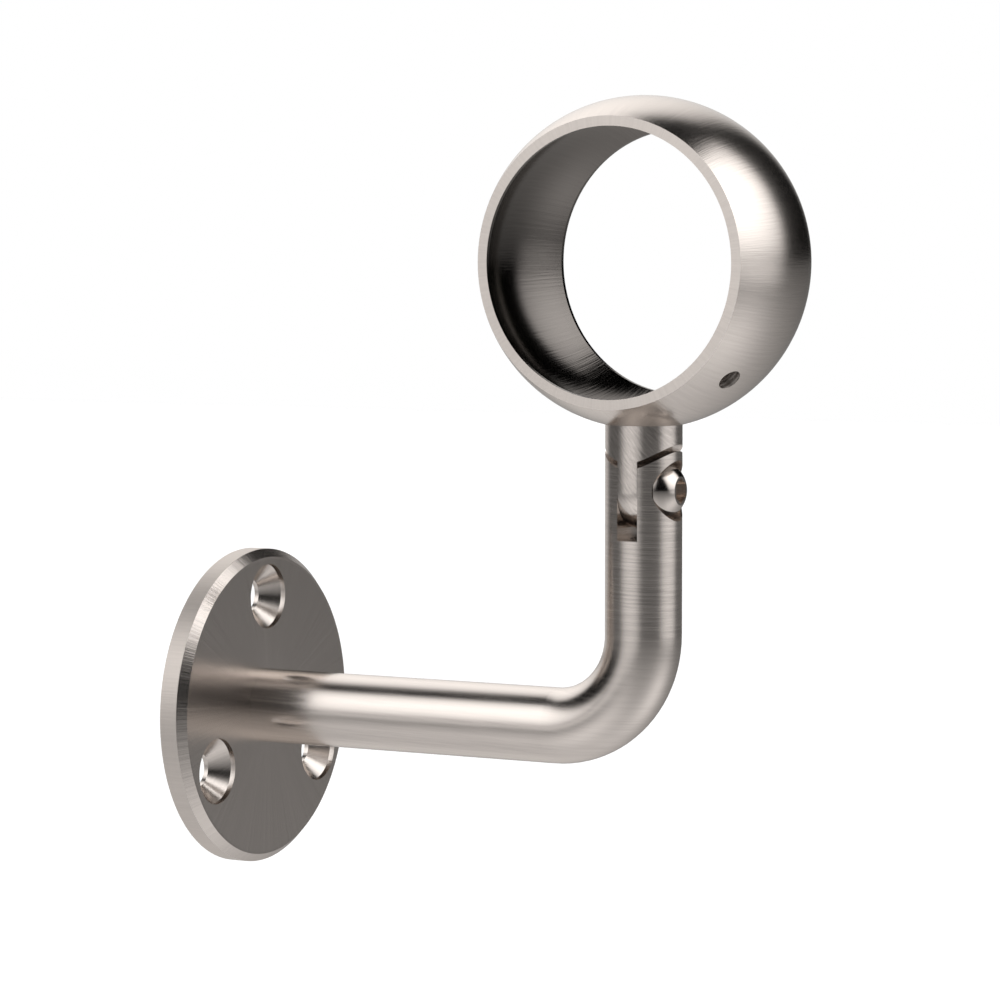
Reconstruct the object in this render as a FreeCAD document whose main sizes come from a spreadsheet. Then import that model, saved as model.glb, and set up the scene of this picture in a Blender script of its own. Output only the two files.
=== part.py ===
import FreeCAD, Part
import math
import os
import Sketcher

# Wall bracket for a round handrail, in brushed stainless steel, millimetres.
# The origin is the centre of the wall plate's back face, on the wall.
# X points out of the wall, Y runs along the handrail and Z points up.

doc = FreeCAD.newDocument("handrail_bracket")

# Driving dimensions
sizes = {
    # wall plate
    "plate_diameter": 60.0,
    "plate_thickness": 5.0,
    "plate_chamfer": 1.5,
    "screw_circle": 42.0,
    "screw_count": 3,
    "screw_bore": 6.2,
    "screw_mouth": 12.4,
    "screw_lead": 1.0,
    "spigot_diameter": 10.0,
    "weld_gap": 0.05,
    # bent arm
    "rod_diameter": 14.0,
    "wall_reach": 85.0,
    "bend_radius": 17.5,
    "pivot_height": 44.0,
    "ear_height": 7.15,
    "crown_radius": 9.25,
    "slot_width": 4.0,
    "slot_depth": 8.9,
    # clamp screw and its seat in the ears
    "thread_diameter": 6.0,
    "thread_gap": 0.05,
    "ear_gap": 0.3,
    "recess_diameter": 11.0,
    "recess_depth": 2.85,
    "screw_length": 10.0,
    "head_diameter": 10.5,
    "head_height": 3.3,
    "head_rim": 0.3,
    "head_flat": 5.2,
    "socket_flats": 4.0,
    "socket_depth": 2.0,
    # swivel neck
    "tongue_gap": 0.05,
    "pivot_gap": 0.05,
    "neck_hollow": 8.35,
    "neck_spigot": 1.6,
    "rail_rise": 41.0,
    # rail ring
    "tube_diameter": 48.3,
    "tube_gap": 0.05,
    "rim_wall": 1.8,
    "ring_width": 30.0,
    "ball_wall": 2.0,
    "neck_seat": 1.0,
    "set_hole_diameter": 4.2,
    "set_hole_offset": 7.5,
    "set_hole_angle": 45.0,
    # how far the cuts run past the faces that they open
    "cut_margin": 1.0,
}
dims = doc.addObject("Spreadsheet::Sheet", "dims")
for row, (alias, size) in enumerate(sizes.items(), start=1):
    dims.set("A%d" % row, alias)
    dims.set("B%d" % row, "%g" % size)
    dims.setAlias("B%d" % row, alias)
doc.recompute()


def measure(formula):
    """The present value of a formula in the sheet's sizes."""
    return float(dims.evalExpression(formula))


def new_body(name, x_formula="0", z_formula="0"):
    """A body whose own origin stands at a place given by the sizes."""
    body = doc.addObject("PartDesign::Body", name)
    body.Label = name
    body.setExpression("Placement.Base.x", x_formula)
    body.setExpression("Placement.Base.z", z_formula)
    return body


def new_sketch(body, name, role, offset="0", tilt="0"):
    """A sketch on one of the body's origin planes, moved along its normal."""
    plane = [p for p in body.Origin.OriginFeatures if p.Role == role][0]
    sketch = body.newObject("Sketcher::SketchObject", name)
    sketch.AttachmentSupport = [(plane, "")]
    sketch.MapMode = "FlatFace"
    if offset != "0":
        sketch.setExpression("AttachmentOffset.Base.z", offset)
    if tilt != "0":
        turn = FreeCAD.Rotation(FreeCAD.Vector(1, 0, 0), measure(tilt))
        sketch.AttachmentOffset = FreeCAD.Placement(FreeCAD.Vector(), turn)
        sketch.setExpression("AttachmentOffset.Rotation.Angle", tilt)
    return sketch


def pin_point(sketch, edge, end, place):
    """Hold one end of an edge at two formulas, from the sketch's origin."""
    for kind, formula, axis in (("DistanceX", place[0], -2), ("DistanceY", place[1], -1)):
        if formula == "0":
            sketch.addConstraint(Sketcher.Constraint("PointOnObject", edge, end, axis))
        else:
            at = sketch.addConstraint(Sketcher.Constraint(kind, edge, end, measure(formula)))
            sketch.setExpression("Constraints[%d]" % at, formula)


def draw_circle(sketch, place, diameter):
    """A full circle about a place."""
    centre = FreeCAD.Vector(measure(place[0]), measure(place[1]), 0)
    circle = Part.Circle(centre, FreeCAD.Vector(0, 0, 1), measure(diameter) / 2)
    edge = sketch.addGeometry(circle, False)
    pin_point(sketch, edge, 3, place)
    at = sketch.addConstraint(Sketcher.Constraint("Diameter", edge, measure(diameter)))
    sketch.setExpression("Constraints[%d]" % at, diameter)


def arc_between(start, end, radius, above):
    """The short arc of a radius from start to end, bulging up or down."""
    middle = (start + end) * 0.5
    chord = end - start
    half = chord.Length / 2
    normal = FreeCAD.Vector(-chord.y, chord.x, 0).normalize()
    if (normal.y < 0) == above:
        normal = normal * -1
    rise = radius - math.sqrt(radius * radius - half * half)
    return Part.Arc(start, middle + normal * rise, end)


def draw_outline(sketch, corners, arcs=None, closed=True):
    """Straight edges through the corners, with arcs where a radius is given.

    arcs maps the number of an edge to its radius and whether it bulges up.
    """
    arcs = arcs or {}
    points = [FreeCAD.Vector(measure(x), measure(y), 0) for x, y in corners]
    count = len(points) if closed else len(points) - 1
    ends = []
    for i in range(count):
        start = points[i]
        end = points[(i + 1) % len(points)]
        if i in arcs:
            radius, above = arcs[i]
            shape = arc_between(start, end, measure(radius), above)
            edge = sketch.addGeometry(shape, False)
            forward = sketch.getPoint(edge, 1).distanceToPoint(start) < 1e-6
            ends.append((edge, 1, 2) if forward else (edge, 2, 1))
        else:
            edge = sketch.addGeometry(Part.LineSegment(start, end), False)
            ends.append((edge, 1, 2))
    for i, (edge, first, last) in enumerate(ends):
        pin_point(sketch, edge, first, corners[i])
        if closed or i + 1 < count:
            after, its_first = ends[(i + 1) % count][:2]
            sketch.addConstraint(
                Sketcher.Constraint("Coincident", edge, last, after, its_first))
        else:
            pin_point(sketch, edge, last, corners[i + 1])
        if i in arcs:
            at = sketch.addConstraint(
                Sketcher.Constraint("Radius", edge, measure(arcs[i][0])))
            sketch.setExpression("Constraints[%d]" % at, arcs[i][0])


def draw_axis(sketch, height):
    """A construction line along the sketch's first axis, at a height."""
    level = measure(height)
    reach = measure("dims.rod_diameter")
    line = Part.LineSegment(FreeCAD.Vector(0, level, 0), FreeCAD.Vector(reach, level, 0))
    edge = sketch.addGeometry(line, True)
    sketch.addConstraint(Sketcher.Constraint("Horizontal", edge))
    sketch.addConstraint(Sketcher.Constraint("PointOnObject", edge, 1, -2))
    sketch.addConstraint(Sketcher.Constraint("DistanceX", edge, 1, edge, 2, reach))
    at = sketch.addConstraint(Sketcher.Constraint("DistanceY", edge, 1, level))
    sketch.setExpression("Constraints[%d]" % at, height)


def turn_profile(body, kind, name, sketch, axis="H_Axis"):
    """A full turn of a sketch about one of its axes, added or cut away."""
    feature = body.newObject(kind, name)
    feature.Profile = sketch
    feature.ReferenceAxis = (sketch, [axis])
    feature.Angle = 360
    return feature


def extrude(body, kind, name, sketch, length, both_ways=False, backwards=False):
    """A sketch extruded along its normal, added or cut away."""
    feature = body.newObject(kind, name)
    feature.Profile = sketch
    feature.SideType = "Symmetric" if both_ways else "One side"
    feature.Reversed = backwards
    feature.setExpression("Length", length)
    return feature


# Wall plate: a disc turned from bar, bevelled at the front, with a bore for the
# arm's spigot and three countersunk holes for the wall screws.
def make_wall_plate():
    body = new_body("wall_plate")
    disc = new_sketch(body, "disc_section", "XZ_Plane")
    rim = "dims.plate_diameter / 2"
    bore = "dims.spigot_diameter / 2 + dims.weld_gap"
    front = "dims.plate_thickness"
    draw_outline(disc, [
        ("0", bore), ("0", rim),
        (front + " - dims.plate_chamfer", rim),
        (front, rim + " - dims.plate_chamfer"),
        (front, bore)])
    turn_profile(body, "PartDesign::Revolution", "disc", disc)

    hole = new_sketch(body, "screw_hole_section", "XZ_Plane")
    middle = "dims.screw_circle / 2"
    draw_axis(hole, middle)
    bore_top = middle + " + dims.screw_bore / 2"
    mouth_top = middle + " + dims.screw_mouth / 2"
    lead = front + " - dims.screw_lead"
    cone = lead + " - (dims.screw_mouth - dims.screw_bore) / 2"
    clear = front + " + dims.cut_margin"
    draw_outline(hole, [
        ("-dims.cut_margin", middle), ("-dims.cut_margin", bore_top), (cone, bore_top),
        (lead, mouth_top), (clear, mouth_top), (clear, middle)])
    groove = turn_profile(body, "PartDesign::Groove", "screw_hole", hole, "Axis0")
    doc.recompute()
    holes = body.newObject("PartDesign::PolarPattern", "screw_holes")
    holes.Originals = [groove]
    holes.Axis = (hole, ["H_Axis"])
    holes.Angle = 360
    holes.setExpression("Occurrences", "dims.screw_count")
    body.Tip = holes
    return body


# Arm: one rod, turned down at the wall end to the spigot that is welded into the
# plate, bent upwards, and forked at the top into two ears around the tongue.
def make_arm_rod():
    body = new_body("arm_rod")
    front = "dims.plate_thickness"
    stem = "dims.wall_reach"
    top = "dims.pivot_height + dims.ear_height"
    bend = "dims.bend_radius"
    path = new_sketch(body, "arm_line", "XZ_Plane")
    draw_outline(path, [
        (front, "0"), (stem + " - " + bend, "0"), (stem, bend), (stem, top)],
        arcs={1: (bend, False)}, closed=False)
    section = new_sketch(body, "arm_section", "YZ_Plane", offset=front)
    draw_circle(section, ("0", "0"), "dims.rod_diameter")
    rod = body.newObject("PartDesign::AdditivePipe", "bent_rod")
    rod.Profile = section
    rod.Spine = (path, ["Edge1", "Edge2", "Edge3"])
    doc.recompute()

    spigot = new_sketch(body, "spigot_section", "YZ_Plane")
    draw_circle(spigot, ("0", "0"), "dims.spigot_diameter")
    extrude(body, "PartDesign::Pad", "spigot", spigot, front)

    # the ears' tops are an arc across the rod, highest over the pivot
    crown = new_sketch(body, "crown_section", "YZ_Plane", offset=stem)
    side = "dims.rod_diameter / 2 + dims.cut_margin"
    above = top + " + dims.cut_margin"
    across = "dims.rod_diameter + 2 * dims.cut_margin"
    drop = "dims.crown_radius - sqrt(dims.crown_radius ^ 2 - (%s) ^ 2)" % side
    draw_outline(crown, [
        ("-(%s)" % side, "%s - (%s)" % (top, drop)),
        (side, "%s - (%s)" % (top, drop)),
        (side, above), ("-(%s)" % side, above)],
        arcs={0: ("dims.crown_radius", True)})
    extrude(body, "PartDesign::Pocket", "ear_crown", crown, across, both_ways=True)

    slot = new_sketch(body, "slot_section", "XZ_Plane")
    floor = "dims.pivot_height - dims.slot_depth"
    half = "dims.slot_width / 2"
    draw_outline(slot, [
        (stem + " - " + half, floor), (stem + " + " + half, floor),
        (stem + " + " + half, above), (stem + " - " + half, above)])
    extrude(body, "PartDesign::Pocket", "slot", slot, across, both_ways=True)

    # the screw's way: recess and clearance in the outer ear, thread in the other
    way = new_sketch(body, "screw_way_section", "XZ_Plane")
    pivot = "dims.pivot_height"
    draw_axis(way, pivot)
    rod_side = "dims.rod_diameter / 2"
    seat = stem + " + " + rod_side + " - dims.recess_depth"
    thread = pivot + " + dims.thread_diameter / 2 + dims.thread_gap"
    clear = pivot + " + dims.thread_diameter / 2 + dims.ear_gap"
    recess = pivot + " + dims.recess_diameter / 2"
    outside = stem + " + " + side
    inside = stem + " - (%s)" % side
    draw_outline(way, [
        (inside, pivot), (inside, thread), (stem, thread), (stem, clear),
        (seat, clear), (seat, recess), (outside, recess), (outside, pivot)])
    turn_profile(body, "PartDesign::Groove", "screw_way", way, "Axis0")
    return body


# Clamp screw: button head with a hexagon socket. It is the joint's axle, and
# pulls the two ears against the tongue.
def make_clamp_screw():
    seat = "dims.wall_reach + dims.rod_diameter / 2 - dims.recess_depth"
    body = new_body("clamp_screw", seat, "dims.pivot_height")
    section = new_sketch(body, "screw_section", "XZ_Plane")
    head = "dims.head_height"
    # the dome is part of a ball centred on the screw's axis
    rise = "(dims.head_height - dims.head_rim)"
    below = "((%s ^ 2 + (dims.head_flat / 2) ^ 2 - (dims.head_diameter / 2) ^ 2) / (2 * %s))" % (
        rise, rise)
    dome = "sqrt((dims.head_diameter / 2) ^ 2 + %s ^ 2)" % below
    draw_outline(section, [
        ("-dims.screw_length", "0"), ("-dims.screw_length", "dims.thread_diameter / 2"),
        ("0", "dims.thread_diameter / 2"), ("0", "dims.head_diameter / 2"),
        ("dims.head_rim", "dims.head_diameter / 2"), (head, "dims.head_flat / 2"),
        (head, "0")],
        arcs={4: (dome, True)})
    turn_profile(body, "PartDesign::Revolution", "screw_blank", section)

    socket = new_sketch(body, "socket_section", "YZ_Plane", offset=head)
    corner = "dims.socket_flats / sqrt(3)"
    flat = "dims.socket_flats / 2"
    draw_outline(socket, [
        ("0", corner), ("-" + flat, corner + " / 2"), ("-" + flat, "-" + corner + " / 2"),
        ("0", "-" + corner), (flat, "-" + corner + " / 2"), (flat, corner + " / 2")])
    extrude(body, "PartDesign::Pocket", "socket", socket, "dims.socket_depth")
    return body


# The ring is a hollow ball. Its faces leave a rim around the openings for the
# tube, and the outside of the ball passes through both rims.
bore_radius = "(dims.tube_diameter / 2 + dims.tube_gap)"
face_radius = "(%s + dims.rim_wall)" % bore_radius
ball_radius = "sqrt(%s ^ 2 + (dims.ring_width / 2) ^ 2)" % face_radius
cavity_radius = "(%s - dims.ball_wall)" % ball_radius


# Swivel neck: a short rod, milled below to a tongue with a round end that turns
# between the ears, and hollowed beside it to pass over their crowns. A turned
# spigot at its top goes through the ball's wall, where it is welded from inside.
def make_swivel_neck():
    body = new_body("swivel_neck", "dims.wall_reach", "dims.pivot_height")
    rod_side = "dims.rod_diameter / 2"
    top = "dims.rail_rise - %s + dims.neck_seat" % ball_radius
    rod = new_sketch(body, "neck_section", "XY_Plane", offset="-(%s)" % rod_side)
    draw_circle(rod, ("0", "0"), "dims.rod_diameter")
    extrude(body, "PartDesign::Pad", "neck_rod", rod, "%s + %s" % (rod_side, top))
    spigot = new_sketch(body, "spigot_section", "XY_Plane", offset=top)
    draw_circle(spigot, ("0", "0"), "dims.spigot_diameter")
    extrude(body, "PartDesign::Pad", "spigot", spigot, "dims.neck_spigot")

    # everything beside the tongue is milled away up to the hollow shoulder
    shoulder = new_sketch(body, "shoulder_section", "YZ_Plane",
                          offset="dims.slot_width / 2 - dims.tongue_gap")
    side = rod_side + " + dims.cut_margin"
    drop = "dims.crown_radius - sqrt(dims.crown_radius ^ 2 - (%s) ^ 2)" % side
    low = "-(%s)" % side
    draw_outline(shoulder, [
        ("-(%s)" % side, low), (side, low),
        (side, "dims.neck_hollow - (%s)" % drop),
        ("-(%s)" % side, "dims.neck_hollow - (%s)" % drop)],
        arcs={2: ("dims.crown_radius", True)})
    milled = extrude(body, "PartDesign::Pocket", "shoulder", shoulder,
                     "dims.rod_diameter", backwards=True)
    doc.recompute()
    both = body.newObject("PartDesign::Mirrored", "shoulders")
    both.Originals = [milled]
    plane = [p for p in body.Origin.OriginFeatures if p.Role == "YZ_Plane"][0]
    both.MirrorPlane = (plane, [""])
    body.Tip = both

    # the tongue's end is a half round about the pivot
    across = "dims.rod_diameter + 2 * dims.cut_margin"
    end = new_sketch(body, "end_section", "YZ_Plane")
    draw_outline(end, [
        ("-(%s)" % rod_side, "0"), ("-(%s)" % rod_side, low),
        (rod_side, low), (rod_side, "0"), ("0", "-(%s)" % rod_side)],
        arcs={3: (rod_side, False), 4: (rod_side, False)})
    extrude(body, "PartDesign::Pocket", "round_end", end, across, both_ways=True)

    pivot = new_sketch(body, "pivot_section", "YZ_Plane")
    draw_circle(pivot, ("0", "0"), "dims.thread_diameter + 2 * dims.pivot_gap")
    extrude(body, "PartDesign::Pocket", "pivot_bore", pivot, across, both_ways=True)
    return body


# Rail ring: a hollow ball faced off on two sides and bored through for the
# handrail tube, which leaves a narrow land at each opening. It has a flat seat
# and a hole for the neck, and a tapped hole for a set screw.
def make_rail_ring():
    body = new_body("rail_ring", "dims.wall_reach", "dims.pivot_height + dims.rail_rise")
    section = new_sketch(body, "ring_section", "YZ_Plane")
    face = "dims.ring_width / 2"
    land = "sqrt(%s ^ 2 - %s ^ 2)" % (cavity_radius, bore_radius)
    draw_outline(section, [
        ("-" + face, bore_radius), ("-" + land, bore_radius),
        (land, bore_radius), (face, bore_radius),
        (face, face_radius), ("-" + face, face_radius)],
        arcs={1: (cavity_radius, True), 4: (ball_radius, True)})
    turn_profile(body, "PartDesign::Revolution", "sliced_ball", section)

    outside = ball_radius + " + dims.cut_margin"
    seat = new_sketch(body, "neck_seat_section", "XY_Plane", offset="-(%s)" % outside)
    draw_circle(seat, ("0", "0"), "dims.rod_diameter + 2 * dims.weld_gap")
    extrude(body, "PartDesign::Pocket", "neck_seat", seat,
            "dims.neck_seat + dims.cut_margin", backwards=True)
    hole = new_sketch(body, "neck_hole_section", "XY_Plane", offset="-(%s)" % outside)
    draw_circle(hole, ("0", "0"), "dims.spigot_diameter + 2 * dims.weld_gap")
    extrude(body, "PartDesign::Pocket", "neck_hole", hole,
            "dims.ball_wall + 2 * dims.cut_margin", backwards=True)

    tapped = new_sketch(body, "set_hole_section", "YZ_Plane", tilt="dims.set_hole_angle")
    draw_circle(tapped, ("-dims.set_hole_offset", "0"), "dims.set_hole_diameter")
    extrude(body, "PartDesign::Pocket", "set_hole", tapped, outside, backwards=True)
    return body


bodies = [
    make_wall_plate(),
    make_arm_rod(),
    make_clamp_screw(),
    make_swivel_neck(),
    make_rail_ring(),
]
doc.recompute()

for item in doc.Objects:
    if "Invalid" in item.State or "Error" in item.State:
        raise RuntimeError("%s failed: %s" % (item.Name, item.State))
for body in bodies:
    if body.Shape.isNull() or not body.Shape.isValid():
        raise RuntimeError("%s has no valid shape" % body.Label)

os.makedirs("parts", exist_ok=True)
for body in bodies:
    body.Shape.exportStep("parts/%s.step" % body.Label)
    box = body.Shape.BoundBox
    print("%-12s %9.1f mm3, %d solid, x %.2f to %.2f, y %.2f to %.2f, z %.2f to %.2f" % (
        body.Label, body.Shape.Volume, len(body.Shape.Solids),
        box.XMin, box.XMax, box.YMin, box.YMax, box.ZMin, box.ZMax))
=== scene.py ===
import math

import bmesh
import bpy
from mathutils import Matrix, Vector


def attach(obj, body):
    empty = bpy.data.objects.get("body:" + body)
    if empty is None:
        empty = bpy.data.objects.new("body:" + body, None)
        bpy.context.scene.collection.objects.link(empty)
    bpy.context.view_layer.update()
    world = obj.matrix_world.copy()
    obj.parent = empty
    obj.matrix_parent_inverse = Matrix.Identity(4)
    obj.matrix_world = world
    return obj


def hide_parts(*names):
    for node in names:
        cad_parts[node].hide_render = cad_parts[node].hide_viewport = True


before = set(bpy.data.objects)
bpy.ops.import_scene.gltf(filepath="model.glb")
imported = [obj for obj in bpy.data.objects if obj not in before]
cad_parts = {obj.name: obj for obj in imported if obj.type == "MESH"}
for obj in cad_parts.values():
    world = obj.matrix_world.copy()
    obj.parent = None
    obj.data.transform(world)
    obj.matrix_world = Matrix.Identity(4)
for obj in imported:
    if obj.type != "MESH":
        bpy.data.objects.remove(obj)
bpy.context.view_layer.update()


# The viewpoint: a long lens a little above the bracket, from the outer side, so that
# the wall plate's face and the ring's front face both show.
view_azimuth = math.radians(28.453)
view_elevation = math.radians(4.07)
view_distance = 0.62814
aim = Vector((0.090084, -0.063934, 0.046301))
backwards = Vector((
    math.sin(view_azimuth) * math.cos(view_elevation),
    -math.cos(view_azimuth) * math.cos(view_elevation),
    math.sin(view_elevation)))
lens_length = 136.72
camera_data = bpy.data.cameras.new("camera")
camera_data.sensor_width = 36
camera_data.lens = lens_length
camera_data.clip_start = 0.01
camera = bpy.data.objects.new("camera", camera_data)
camera.location = aim + backwards * view_distance
camera.rotation_euler = backwards.to_track_quat("Z", "Y").to_euler()
bpy.context.scene.collection.objects.link(camera)
bpy.context.scene.camera = camera
bpy.context.scene.view_settings.view_transform = "Standard"


# The studio: three tall soft lamps stand around the bracket, leaning over it, with
# dark gaps between them. Below the horizon lies the pale floor, which carries a sheen
# at the foot of each lamp and a pool of light in front of it.
def add_node(tree, kind, settings=None, inputs=None):
    """A node with its settings and inputs; an input may be a value or a socket."""
    node = tree.nodes.new(kind)
    for name, value in (settings or {}).items():
        setattr(node, name, value)
    for name, value in (inputs or {}).items():
        if isinstance(value, bpy.types.NodeSocket):
            tree.links.new(value, node.inputs[name])
        else:
            node.inputs[name].default_value = value
    return node


def calculate(tree, operation, *terms):
    """The result of a Math node on values or sockets."""
    inputs = dict(enumerate(terms))
    return add_node(tree, "ShaderNodeMath", {"operation": operation}, inputs).outputs[0]


def dot_product(tree, first, second):
    """The dot product of two vectors."""
    return add_node(tree, "ShaderNodeVectorMath", {"operation": "DOT_PRODUCT"},
                    {0: first, 1: second}).outputs["Value"]


def part_along(tree, vector, axis):
    """A vector's part along X, Y or Z."""
    return add_node(tree, "ShaderNodeSeparateXYZ", inputs={0: vector}).outputs[axis]


def map_range(tree, value, start, end, low, high, smooth=False):
    """A value carried from one range to another and held at its ends."""
    kind = "SMOOTHSTEP" if smooth else "LINEAR"
    return add_node(tree, "ShaderNodeMapRange", {"interpolation_type": kind}, {
        "Value": value, "From Min": start, "From Max": end,
        "To Min": low, "To Max": high}).outputs[0]


def new_group(name, inputs, outputs):
    """A new shader group, with what it is given and what it puts out.

    Each input is a name with its kind of socket and its value, or None.
    """
    tree = bpy.data.node_groups.new(name, "ShaderNodeTree")
    for label, (kind, value) in inputs.items():
        socket = tree.interface.new_socket(label, in_out="INPUT", socket_type=kind)
        if value is not None:
            socket.default_value = value
    for label, kind in outputs.items():
        tree.interface.new_socket(label, in_out="OUTPUT", socket_type=kind)
    given = tree.nodes.new("NodeGroupInput").outputs
    result = tree.nodes.new("NodeGroupOutput").inputs
    return tree, given, result


def soft_lamp_group():
    """How bright a flat lamp is in a direction.

    It is dimmer towards its soft edges, and its flare makes it wider towards the top.
    """
    number = "NodeSocketFloat"
    edge_loss = 0.6
    least_ahead = 0.001
    tree, given, result = new_group("soft_lamp", {
        "Direction": ("NodeSocketVector", None), "Azimuth": (number, 0.0),
        "Lean": (number, 0.0), "Rise": (number, 0.0), "Half width": (number, 0.5),
        "Half height": (number, 0.5), "Softness": (number, 0.15), "Flare": (number, 0.0),
        "Level": (number, 1.0)}, {"Level": number})
    turned = add_node(tree, "ShaderNodeVectorRotate",
                      {"rotation_type": "Z_AXIS", "invert": True},
                      {"Vector": given["Direction"], "Angle": given["Azimuth"]})
    leaned = add_node(tree, "ShaderNodeVectorRotate", {"rotation_type": "Y_AXIS"},
                      {"Vector": turned.outputs[0], "Angle": given["Lean"]})
    axes = add_node(tree, "ShaderNodeSeparateXYZ", inputs={0: leaned.outputs[0]}).outputs
    ahead = calculate(tree, "MAXIMUM", axes["X"], least_ahead)
    steepness = calculate(tree, "DIVIDE", axes["Z"], ahead)
    upwards = calculate(tree, "SUBTRACT", steepness, given["Rise"])
    widening = calculate(tree, "MULTIPLY_ADD", steepness, given["Flare"], 1.0)
    sideways = calculate(tree, "DIVIDE", calculate(tree, "DIVIDE", axes["Y"], ahead), widening)
    level = calculate(tree, "MULTIPLY", given["Level"],
                      calculate(tree, "GREATER_THAN", axes["X"], least_ahead))
    inner = calculate(tree, "SUBTRACT", 1.0, given["Softness"])
    outer = calculate(tree, "ADD", 1.0, given["Softness"])
    for across, half in ((sideways, "Half width"), (upwards, "Half height")):
        share = calculate(tree, "ABSOLUTE", calculate(tree, "DIVIDE", across, given[half]))
        edge = map_range(tree, share, inner, outer, 1.0, 0.0, smooth=True)
        dimming = calculate(tree, "MULTIPLY_ADD", calculate(tree, "POWER", share, 2.0),
                            -edge_loss, 1.0)
        level = calculate(tree, "MULTIPLY", level, calculate(tree, "MULTIPLY", edge, dimming))
    tree.links.new(calculate(tree, "MAXIMUM", level, 0.0), result["Level"])
    return tree


# each lamp's azimuth in degrees, brightness and half width
lamps = ((16, 2.5, 0.68), (138, 1.75, 0.75), (256, 2.35, 0.68))
lamp_lean = math.radians(15)
lamp_rise = 0.44
lamp_half_height = 0.72
lamp_softness = 0.24
lamp_flare = 0.14
sheen_half_width = 0.6
sheen_half_height = 0.2
sheen_softness = 0.5
sheen_share = 0.36
pool_depression = math.radians(37)
pool_narrowness = 10.0
pool_share = 0.21
floor_near_horizon = 0.13
floor_gain_downwards = 0.7
horizon_blur = 0.01

world = bpy.data.worlds.new("studio")
world.use_nodes = True
bpy.context.scene.world = world
studio = world.node_tree
studio.nodes.clear()
direction = add_node(studio, "ShaderNodeTexCoord").outputs["Generated"]
downwards = calculate(studio, "MULTIPLY", part_along(studio, direction, "Z"), -1.0)
soft_lamp = soft_lamp_group()
lamps_level = 0.0
floor_shade = calculate(studio, "MULTIPLY_ADD", downwards, floor_gain_downwards,
                        floor_near_horizon)
for degrees, brightness, half_width in lamps:
    azimuth = math.radians(degrees)
    lamp = add_node(studio, "ShaderNodeGroup", {"node_tree": soft_lamp}, {
        "Direction": direction, "Azimuth": azimuth, "Lean": lamp_lean, "Rise": lamp_rise,
        "Half width": half_width, "Half height": lamp_half_height,
        "Softness": lamp_softness, "Flare": lamp_flare, "Level": brightness}).outputs[0]
    lamps_level = calculate(studio, "ADD", lamp, lamps_level)
    sheen = add_node(studio, "ShaderNodeGroup", {"node_tree": soft_lamp}, {
        "Direction": direction, "Azimuth": azimuth, "Half width": sheen_half_width,
        "Half height": sheen_half_height, "Softness": sheen_softness,
        "Level": sheen_share * brightness}).outputs[0]
    pool = Vector((math.cos(azimuth), math.sin(azimuth), -math.tan(pool_depression)))
    towards = dot_product(studio, direction, pool.normalized())
    glow = calculate(studio, "POWER", calculate(studio, "MAXIMUM", towards, 0.0),
                     pool_narrowness)
    floor_shade = calculate(studio, "ADD", floor_shade, sheen)
    floor_shade = calculate(studio, "MULTIPLY_ADD", glow, pool_share * brightness, floor_shade)
below = map_range(studio, downwards, -horizon_blur, horizon_blur, 0.0, 1.0)
studio_level = add_node(studio, "ShaderNodeMix", {"data_type": "FLOAT"}, {
    0: below, 2: lamps_level, 3: floor_shade}).outputs[0]
# the camera itself sees plain white
light_path = add_node(studio, "ShaderNodeLightPath").outputs
seen_level = add_node(studio, "ShaderNodeMix", {"data_type": "FLOAT"}, {
    0: light_path["Is Camera Ray"], 2: studio_level, 3: 1.0}).outputs[0]
background = add_node(studio, "ShaderNodeBackground", inputs={
    "Color": (1, 1, 1, 1), "Strength": seen_level})
add_node(studio, "ShaderNodeOutputWorld", inputs={"Surface": background.outputs[0]})


# The floor: a plain pale sheet well below the bracket, which hangs on its wall. It is
# as light as the background and takes only the bracket's faint shadow.
floor_level = -0.6
floor_reach = 12.0
floor_grey = 0.8
floor_lift = 0.4
floor_corners = ((-1, -1), (1, -1), (1, 1), (-1, 1))
floor_mesh = bpy.data.meshes.new("floor")
floor_mesh.from_pydata(
    [(x * floor_reach, y * floor_reach, floor_level) for x, y in floor_corners],
    [], [(0, 1, 2, 3)])
floor = bpy.data.objects.new("floor", floor_mesh)
bpy.context.scene.collection.objects.link(floor)
floor.visible_glossy = False
floor_paint = bpy.data.materials.new("pale_floor")
floor_paint.use_nodes = True
paint = floor_paint.node_tree
paint.nodes.clear()
lit = add_node(paint, "ShaderNodeBsdfDiffuse", inputs={
    "Color": (floor_grey, floor_grey, floor_grey, 1)})
seen_by_camera = add_node(paint, "ShaderNodeLightPath").outputs["Is Camera Ray"]
lift = add_node(paint, "ShaderNodeEmission", inputs={
    "Strength": calculate(paint, "MULTIPLY", seen_by_camera, floor_lift)})
both = add_node(paint, "ShaderNodeAddShader", inputs={0: lit.outputs[0], 1: lift.outputs[0]})
add_node(paint, "ShaderNodeOutputMaterial", inputs={"Surface": both.outputs[0]})
floor_mesh.materials.append(floor_paint)


# Wall plate: a disc turned from stainless bar, its face ground plain and its bevel,
# rim and countersinks turned. Three countersunk holes take the wall screws.
def calculate_vector(tree, operation, *terms):
    """The vector from a Vector Math node on vectors or sockets."""
    inputs = dict(enumerate(terms))
    return add_node(tree, "ShaderNodeVectorMath", {"operation": operation}, inputs).outputs[0]


def length_of(tree, vector):
    """How long a vector is."""
    return add_node(tree, "ShaderNodeVectorMath", {"operation": "LENGTH"},
                    {0: vector}).outputs["Value"]


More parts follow.
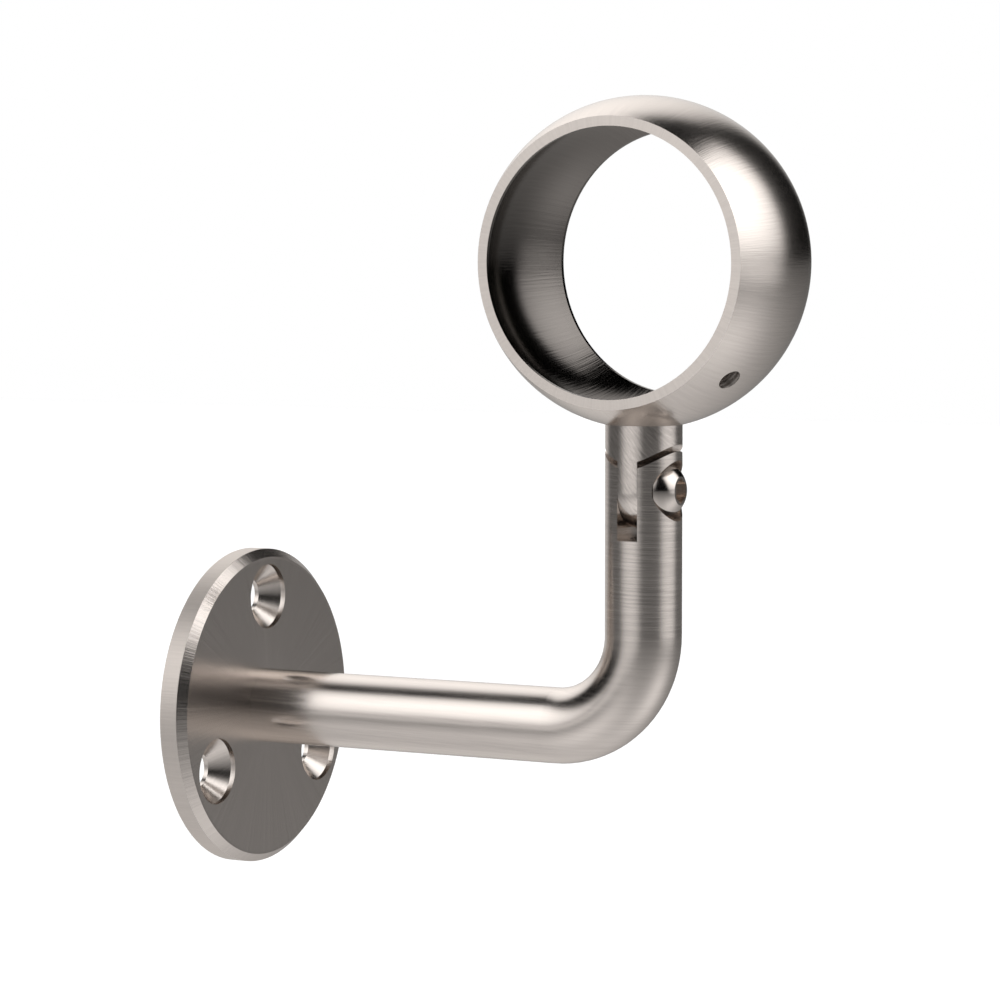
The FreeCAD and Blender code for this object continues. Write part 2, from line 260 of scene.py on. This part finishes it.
def brush_marks_group():
    """Fine scratches, as many a metre as Density says each way, and their shade."""
    number = "NodeSocketFloat"
    vector = "NodeSocketVector"
    tree, given, result = new_group(
        "brush_marks", {"Vector": (vector, None), "Density": (vector, None)},
        {"Height": number, "Shade": number})
    stretched = calculate_vector(tree, "MULTIPLY", given["Vector"], given["Density"])
    scratches = add_node(tree, "ShaderNodeTexNoise", inputs={
        "Vector": stretched, "Scale": 1.0, "Detail": 3.0, "Roughness": 0.6})
    tree.links.new(scratches.outputs[0], result["Height"])
    broad = add_node(tree, "ShaderNodeTexNoise", inputs={
        "Vector": stretched, "Scale": 0.7, "Detail": 2.0, "Roughness": 0.6})
    tree.links.new(broad.outputs[0], result["Shade"])
    return tree


def tube_course_group():
    """Places moved onto a tube about an axis, so that scratches run along the axis."""
    vector = "NodeSocketVector"
    tree, given, result = new_group("tube_course", {
        "Vector": (vector, None), "Centre": (vector, None), "Axis": (vector, None),
        "Radius": (vector, None)}, {"Vector": vector})
    from_centre = calculate_vector(tree, "SUBTRACT", given["Vector"], given["Centre"])
    along = calculate_vector(tree, "MULTIPLY", from_centre, given["Axis"])
    aside = calculate_vector(tree, "SUBTRACT", from_centre, along)
    outward = calculate_vector(tree, "NORMALIZE", aside)
    tree.links.new(calculate_vector(tree, "MULTIPLY_ADD", outward, given["Radius"], along),
                   result["Vector"])
    return tree


brush_marks = brush_marks_group()
tube_course = tube_course_group()
steel_colour = (0.58, 0.53, 0.494)
steel_sheen = (0.85, 0.83, 0.81, 1.0)


def run_along(tree, place, centre, axis, radius):
    """The course of scratches that run along the axis of a turned piece."""
    return add_node(tree, "ShaderNodeGroup", {"node_tree": tube_course}, {
        "Vector": place, "Centre": centre, "Axis": axis, "Radius": (radius,) * 3}).outputs[0]


def brushed_steel(name, lean=(0, 0, 0), roughness=0.22, depth=0.000012, streaks=0.12,
                  density=(150, 150, 4000), turned=None, strength=None, tone=None,
                  dullness=None, relief=None):
    """Satin stainless steel with fine scratches.

    lean turns the scratches from level planes about X, Y and Z, in degrees. depth is how
    deep they are, density how many there are a metre each way, and streaks how much they
    shade the steel. turned is the centre, axis and radius of a piece whose scratches run
    along its axis. strength, tone, dullness and relief are functions for what changes
    from place to place: how strong the scratches are, the share of the colour, what is
    added to the roughness, and more relief, in scratch depths.
    """
    least_shade, most_shade = 0.3, 0.7
    material = bpy.data.materials.new(name)
    material.use_nodes = True
    tree = material.node_tree
    steel = tree.nodes["Principled BSDF"]
    steel.inputs["Metallic"].default_value = 1.0
    steel.inputs["Specular Tint"].default_value = steel_sheen
    place = add_node(tree, "ShaderNodeTexCoord").outputs["Object"]
    course = add_node(tree, "ShaderNodeMapping", {"vector_type": "TEXTURE"}, {
        "Vector": run_along(tree, place, *turned) if turned else place,
        "Rotation": [math.radians(angle) for angle in lean]}).outputs[0]
    marks = add_node(tree, "ShaderNodeGroup", {"node_tree": brush_marks}, {
        "Vector": course, "Density": density}).outputs
    shade = map_range(tree, marks["Shade"], least_shade, most_shade,
                      1.0 - streaks, 1.0 + streaks)
    height = marks["Height"]
    if strength:
        part = strength(tree, place)
        change = calculate(tree, "SUBTRACT", shade, 1.0)
        shade = calculate(tree, "MULTIPLY_ADD", change, part, 1.0)
        height = calculate(tree, "MULTIPLY", height, part)
    if tone:
        shade = calculate(tree, "MULTIPLY", shade, tone(tree, place))
    colour = add_node(tree, "ShaderNodeVectorMath", {"operation": "SCALE"},
                      {0: steel_colour, "Scale": shade}).outputs[0]
    tree.links.new(colour, steel.inputs["Base Color"])
    dulling = streaks / 5
    rough = map_range(tree, marks["Shade"], least_shade, most_shade,
                      roughness - dulling, roughness + dulling)
    if dullness:
        rough = calculate(tree, "ADD", rough, dullness(tree, place))
    tree.links.new(rough, steel.inputs["Roughness"])
    if relief:
        height = calculate(tree, "ADD", height, relief(tree, place))
    bump = add_node(tree, "ShaderNodeBump", inputs={
        "Height": height, "Strength": 1.0, "Distance": depth})
    tree.links.new(bump.outputs[0], steel.inputs["Normal"])
    return material


def finish_node(node, material):
    """Gives a solid of the bracket its finish."""
    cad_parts[node].material_slots[0].material = material


plate_centre = (0.0, 0.0, 0.0)
plate_radius = 0.03
plate_turned = (plate_centre, (1, 0, 0), plate_radius)
# the marks grow to their full depth between these distances from the axis
face_edge = 0.028
bevel_edge = 0.0285
face_marks_share = 0.22
plate_marks_depth = 3.0
plate_marks_density = (60, 1800, 1800)
rim_roughness = 0.25
# how near a place is to a surface that it counts as part of
tolerance = 0.00005


def off_centre(tree, place, centre):
    """How far a place is from the line through a centre along X."""
    from_centre = calculate_vector(tree, "SUBTRACT", place, centre)
    return length_of(tree, calculate_vector(tree, "MULTIPLY", from_centre, (0.0, 1.0, 1.0)))


def dull_rim(tree, place):
    """How much rougher the plate's turned rim is than its face."""
    on_rim = calculate(tree, "GREATER_THAN", off_centre(tree, place, plate_centre),
                       plate_radius - tolerance)
    return calculate(tree, "MULTIPLY", on_rim, rim_roughness)


def coarser_marks(tree, place, turned, density, depth):
    """Deeper marks of the tool along a turned piece's axis, in scratch depths."""
    marks = add_node(tree, "ShaderNodeGroup", {"node_tree": brush_marks}, {
        "Vector": run_along(tree, place, *turned), "Density": density}).outputs["Height"]
    return calculate(tree, "MULTIPLY", marks, depth)


def plate_relief(tree, place):
    """The marks across the plate's bevel and rim, and fainter ones outwards on its face."""
    outer_part = map_range(tree, off_centre(tree, place, plate_centre),
                           face_edge, bevel_edge, face_marks_share, 1.0)
    marks = coarser_marks(tree, place, plate_turned, plate_marks_density, plate_marks_depth)
    return calculate(tree, "MULTIPLY", marks, outer_part)


finish_node("wall_plate", brushed_steel(
    "plate_steel", streaks=0.04, density=(150, 4000, 4000), turned=plate_turned,
    dullness=dull_rim, relief=plate_relief))


# Arm: a drawn stainless rod, bent cold, with the fork milled into its top. Its upright
# part is brushed level, and the scratches are fainter on the bend and the lower part.
bend_top = 0.0175
blend = 0.001
faint_share = 0.35


def upright_part(tree, place):
    """How strong the scratches are: in full on the upright part of the arm alone."""
    height = part_along(tree, place, "Z")
    return map_range(tree, height, bend_top - blend, bend_top + blend, faint_share, 1.0)


finish_node("arm_rod", brushed_steel("arm_steel", lean=(0, 2, 0), strength=upright_part))


# Clamp screw: a bought button head screw, pressed and tumbled smooth, so its head
# mirrors the studio more sharply than the brushed pieces.
pivot_place = (0.085, 0.0, 0.044)
head_front = 0.09245
socket_reach = 0.0024
# painted shade: the head is coloured a little darker to dim its highlight; painted light: the
# socket is coloured lighter
head_painted_shade = 0.92
socket_painted_light = 0.32


def screw_tone(tree, place):
    """How much of the steel's colour shows: the head a little darker to dim its highlight,
    painted shade, and the socket lighter, painted light.
    """
    from_axis = off_centre(tree, place, pivot_place)
    along = part_along(tree, place, "X")
    below_front = calculate(tree, "LESS_THAN", along, head_front - tolerance)
    in_socket = calculate(tree, "MULTIPLY", below_front,
                          calculate(tree, "LESS_THAN", from_axis, socket_reach))
    return calculate(tree, "MULTIPLY_ADD", in_socket, socket_painted_light, head_painted_shade)


finish_node("clamp_screw", brushed_steel(
    "screw_steel", lean=(0, 90, 0), roughness=0.15, depth=0.000001, streaks=0.02,
    tone=screw_tone))


# Swivel neck: a short piece of the same rod, with a spigot at its top for the ring. Its
# lower end is turned round like a ball and milled on both sides to a tongue, with a
# hollow shoulder over each ear of the fork. It was brushed at a slant to the belt.
rod_radius = 0.007
# heights are above the clamp screw's axis
shoulder_height = 0.011983
spigot_radius = 0.005
spigot_height = 0.013583
tongue_half = 0.00195
crown_radius = 0.00925
crown_height = 0.00835
pivot_radius = 0.00305
past_rod = 0.009
ball_steps = 60
bar_steps = 192
crown_steps = 64
bore_steps = 64
sharp_angle = math.radians(25)


def turned_bar(outline, steps):
    """A bar turned about Z, through the outline's radius and height pairs."""
    shape = bmesh.new()
    rings = [[shape.verts.new((radius * math.cos(turn), radius * math.sin(turn), height))
              for turn in (2 * math.pi * step / steps for step in range(steps))]
             for radius, height in outline]
    for lower, upper in zip(rings, rings[1:]):
        for step in range(steps):
            after = (step + 1) % steps
            shape.faces.new((lower[step], lower[after], upper[after], upper[step]))
    shape.faces.new(rings[0][::-1])
    shape.faces.new(rings[-1])
    return shape


def straight_bar(section, start, end):
    """A bar along X from start to end, with the section's Y and Z corners."""
    shape = bmesh.new()
    near, far = ([shape.verts.new((x, y, z)) for y, z in section] for x in (start, end))
    for step in range(len(section)):
        after = (step + 1) % len(section)
        shape.faces.new((near[step], near[after], far[after], far[step]))
    shape.faces.new(near[::-1])
    shape.faces.new(far)
    return shape


def new_piece(name, shape):
    """An object in the scene with the shape as its mesh."""
    mesh = bpy.data.meshes.new(name)
    bmesh.ops.recalc_face_normals(shape, faces=shape.faces)
    shape.to_mesh(mesh)
    shape.free()
    piece = bpy.data.objects.new(name, mesh)
    bpy.context.scene.collection.objects.link(piece)
    return piece


def make_neck():
    """The neck in its place: the turned bar less what is milled and bored away."""
    ball_turns = [math.pi / 2 * step / ball_steps for step in range(1, ball_steps + 1)]
    blank = new_piece("neck_blank", turned_bar(
        [(rod_radius * math.sin(turn), -rod_radius * math.cos(turn)) for turn in ball_turns]
        + [(rod_radius, shoulder_height), (spigot_radius, shoulder_height),
           (spigot_radius, spigot_height)], bar_steps))
    crown = [(y, crown_height - crown_radius + math.sqrt(crown_radius ** 2 - y ** 2))
             for y in (past_rod * (1 - 2 * step / crown_steps)
                       for step in range(crown_steps + 1))]
    milled = [(-past_rod, -past_rod), (past_rod, -past_rod)] + crown
    bored = [(pivot_radius * math.cos(turn), pivot_radius * math.sin(turn))
             for turn in (2 * math.pi * step / bore_steps for step in range(bore_steps))]
    cutters = [new_piece("cutter", straight_bar(milled, tongue_half, past_rod)),
               new_piece("cutter", straight_bar(milled, -past_rod, -tongue_half)),
               new_piece("cutter", straight_bar(bored, -past_rod, past_rod))]
    for cutter in cutters:
        cut = blank.modifiers.new("cut", "BOOLEAN")
        cut.operation = "DIFFERENCE"
        cut.solver = "EXACT"
        cut.object = cutter
    evaluated = blank.evaluated_get(bpy.context.evaluated_depsgraph_get())
    mesh = bpy.data.meshes.new_from_object(evaluated)
    for used in cutters + [blank]:
        bpy.data.objects.remove(used)
    mesh.transform(Matrix.Translation(pivot_place))
    mesh.shade_smooth()
    mesh.set_sharp_from_angle(angle=sharp_angle)
    return mesh


neck = bpy.data.objects.new("neck", make_neck())
bpy.context.scene.collection.objects.link(neck)
neck.data.materials.clear()
neck.data.materials.append(brushed_steel(
    "neck_steel", lean=(0, 52, 0), density=(600, 600, 4500)))
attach(neck, "rail_head")
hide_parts("swivel_neck")


# Rail ring: a hollow ball, faced off on both sides and brushed along the handrail.
# Only the belt's side is bright: the inside is coloured darker. The flat faces are coloured
# lighter as painted light, and the tapped hole darker as painted shade.
ball_centre = (0.085, 0.0, 0.085)
ball_radius = 0.03
rim_distance = 0.02846
rim_blend = 0.00002
face_distance = 0.01499
hole_place = (0.085, -0.0075, 0.085)
hole_radius = 0.0021
wall_tolerance = 0.00003
thread_pitch = 0.0008
outwards = (math.sqrt(0.5), 0.0, -math.sqrt(0.5))
ring_turned = (ball_centre, (0, 1, 0), ball_radius)
inner_marks_depth = 2.5
inner_marks_density = (1800, 60, 1800)
thread_depth = 1.8
inside_share = 0.24
# painted light: the ring's flat faces are coloured lighter than the rest of the ring
face_painted_light = 0.14
# painted shade: the wall of the tapped hole is coloured darker, in its recess
hole_painted_shade = 0.6
face_roughness = 0.15
inside_roughness = -0.07
hole_roughness = 0.35


def is_on_face(tree, place):
    """One on the ring's two flat faces."""
    along_rail = part_along(tree, place, "Y")
    return calculate(tree, "GREATER_THAN", calculate(tree, "ABSOLUTE", along_rail),
                     face_distance)


def along_hole(tree, place):
    """How far out a place is, along the axis of the tapped hole for the set screw."""
    from_start = calculate_vector(tree, "SUBTRACT", place, hole_place)
    return dot_product(tree, from_start, outwards)


def is_in_hole(tree, place):
    """One on the wall of the tapped hole, and nothing elsewhere."""
    from_start = calculate_vector(tree, "SUBTRACT", place, hole_place)
    from_axis = length_of(tree, calculate_vector(tree, "CROSS_PRODUCT", from_start, outwards))
    on_wall = calculate(tree, "COMPARE", from_axis, hole_radius, wall_tolerance)
    outer_side = calculate(tree, "GREATER_THAN", along_hole(tree, place), 0.0)
    return calculate(tree, "MULTIPLY", on_wall, outer_side)


def is_inside(tree, place):
    """One on the ring's inner side."""
    distance = length_of(tree, calculate_vector(tree, "SUBTRACT", place, ball_centre))
    return map_range(tree, distance, rim_distance - rim_blend, rim_distance, 1.0, 0.0)


def inner_marks(tree, place):
    """Coarser marks along the ring's inner side, in scratch depths."""
    marks = coarser_marks(tree, place, ring_turned, inner_marks_density, inner_marks_depth)
    return calculate(tree, "MULTIPLY", marks, is_inside(tree, place))


def hole_thread(tree, place):
    """The tapped hole's thread, in scratch depths."""
    turns = calculate(tree, "MULTIPLY", along_hole(tree, place), 2 * math.pi / thread_pitch)
    ridges = calculate(tree, "MULTIPLY", calculate(tree, "SINE", turns), thread_depth)
    return calculate(tree, "MULTIPLY", ridges, is_in_hole(tree, place))


def ring_relief(tree, place):
    """The marks inside the ring and the thread of its hole."""
    return calculate(tree, "ADD", inner_marks(tree, place), hole_thread(tree, place))


def ring_tone(tree, place):
    """How much of the steel's colour shows: less inside, more on the faces as painted light,
    and less in the hole as painted shade.
    """
    skin = calculate(tree, "MULTIPLY_ADD", is_inside(tree, place), inside_share - 1.0, 1.0)
    faced = calculate(tree, "MULTIPLY_ADD", is_on_face(tree, place), face_painted_light, skin)
    return add_node(tree, "ShaderNodeMix", {"data_type": "FLOAT"}, {
        0: is_in_hole(tree, place), 2: faced, 3: hole_painted_shade}).outputs[0]


def ring_dullness(tree, place):
    """How much rougher the faces and the hole's thread are, and the inside smoother."""
    faced = calculate(tree, "MULTIPLY", is_on_face(tree, place), face_roughness)
    lined = calculate(tree, "MULTIPLY_ADD", is_inside(tree, place), inside_roughness, faced)
    return calculate(tree, "MULTIPLY_ADD", is_in_hole(tree, place), hole_roughness, lined)


finish_node("rail_ring", brushed_steel(
    "ring_steel", streaks=0.04, depth=0.000016, density=(4000, 150, 4000),
    turned=ring_turned, tone=ring_tone, dullness=ring_dullness, relief=ring_relief))


# Set screw: a short grub screw in the ring's tapped hole, which would hold the tube. It
# sits below the mouth, so only a strip of its end and the edge of its socket show.
set_screw_inner = 0.0243
set_screw_outer = 0.0278
socket_corner = 0.00144
socket_depth = 0.0015
screw_radius = 0.00205
end_chamfer = 0.0003
screw_steps = 48
corner_tolerance = 0.001
screw_roughness = 0.35


def hexagon_reach(turn):
    """How far a hexagon with corners at one reaches at an angle."""
    half_side = math.pi / 6
    return math.cos(half_side) / math.cos(turn % (2 * half_side) - half_side)


def make_set_screw():
    """A short bar with a chamfered end and a hexagon socket, in its place."""
    shape = turned_bar([
        (screw_radius, set_screw_inner), (screw_radius, set_screw_outer - end_chamfer),
        (screw_radius - end_chamfer, set_screw_outer), (socket_corner, set_screw_outer),
        (socket_corner, set_screw_outer - socket_depth)], screw_steps)
    for corner in shape.verts:
        reach = math.hypot(corner.co.x, corner.co.y)
        if math.isclose(reach, socket_corner, rel_tol=corner_tolerance):
            share = hexagon_reach(math.atan2(corner.co.y, corner.co.x))
            corner.co.x *= share
            corner.co.y *= share
    turn_out = Vector(outwards).to_track_quat("Z", "Y").to_matrix().to_4x4()
    shape.transform(Matrix.Translation(hole_place) @ turn_out)
    return new_piece("set_screw", shape)


set_screw = make_set_screw()
set_screw.data.materials.append(brushed_steel(
    "set_screw_steel", roughness=screw_roughness))
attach(set_screw, "rail_head")
